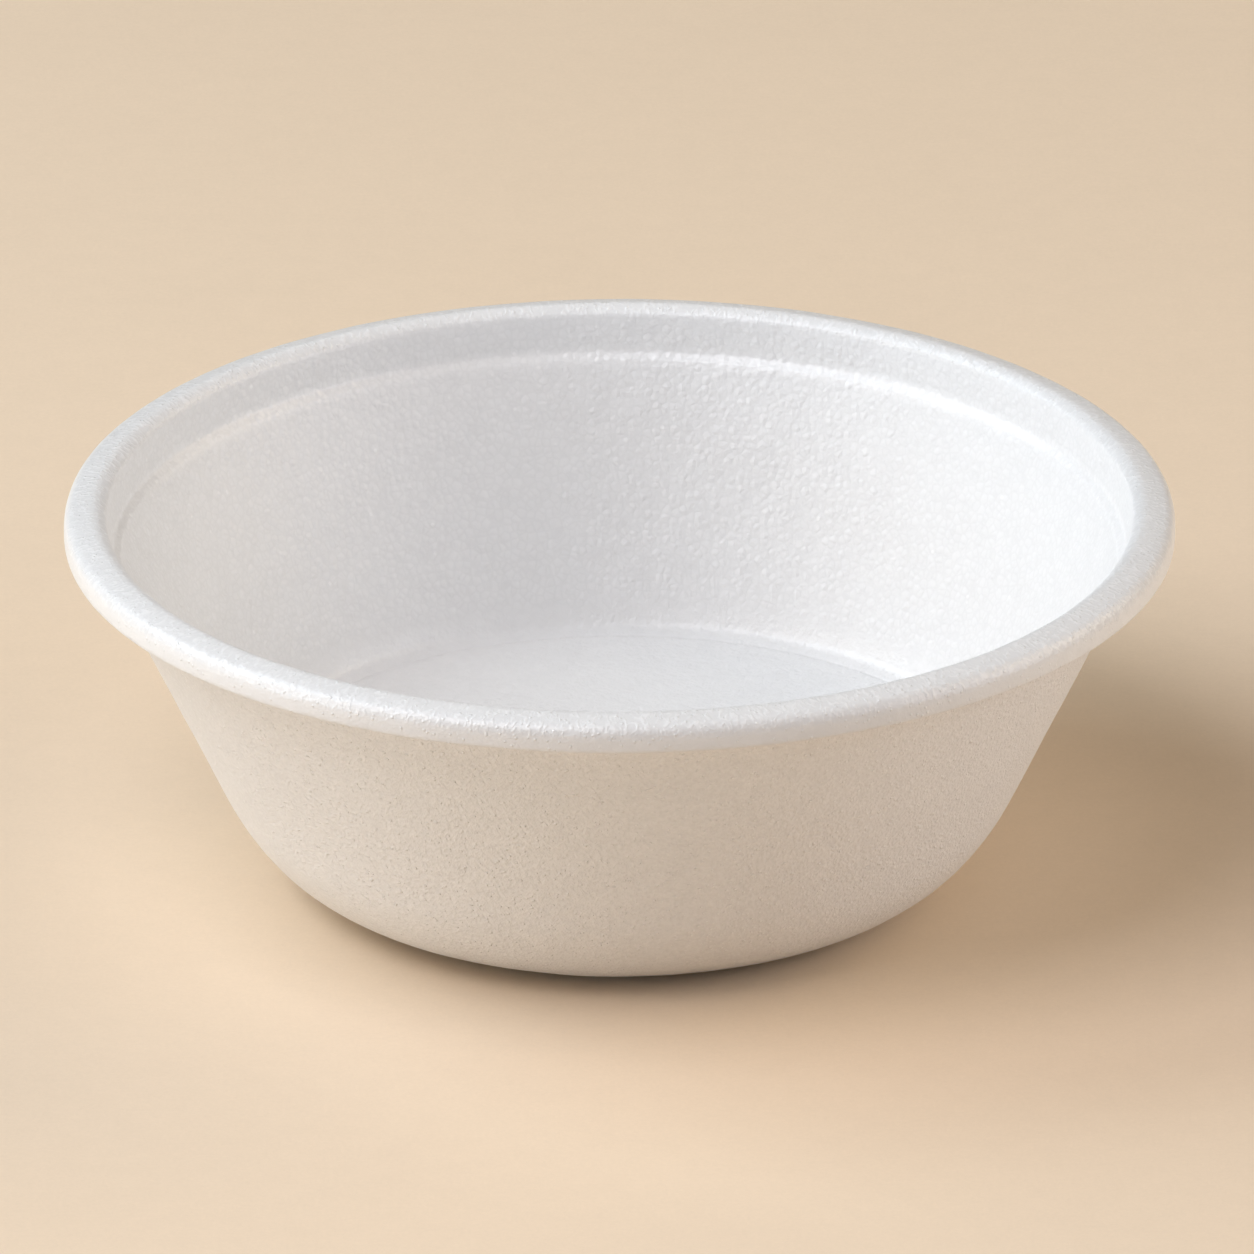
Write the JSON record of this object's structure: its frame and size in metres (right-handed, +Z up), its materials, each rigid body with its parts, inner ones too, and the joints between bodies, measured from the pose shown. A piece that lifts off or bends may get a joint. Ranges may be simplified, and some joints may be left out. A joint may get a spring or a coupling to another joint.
{
  "type": "foam bowl",
  "caption": "Empty round foam bowl with a thick rounded rim bead, a stacking ledge inside, sloped walls and a raised floor over a foot ring.",
  "frame": {"origin": "on the table at the centre of the foot ring", "axes": "+Z up along the bowl's axis; X and Y are any two level directions, as the bowl is round"},
  "size_m": [0.152, 0.152, 0.0534],
  "materials": {
    "foam": "white moulded foam with a fine pattern of pressed cells and a soft satin sheen"
  },
  "bodies": {
    "root": {"bowl": "foam"}
  },
  "joints": []
}
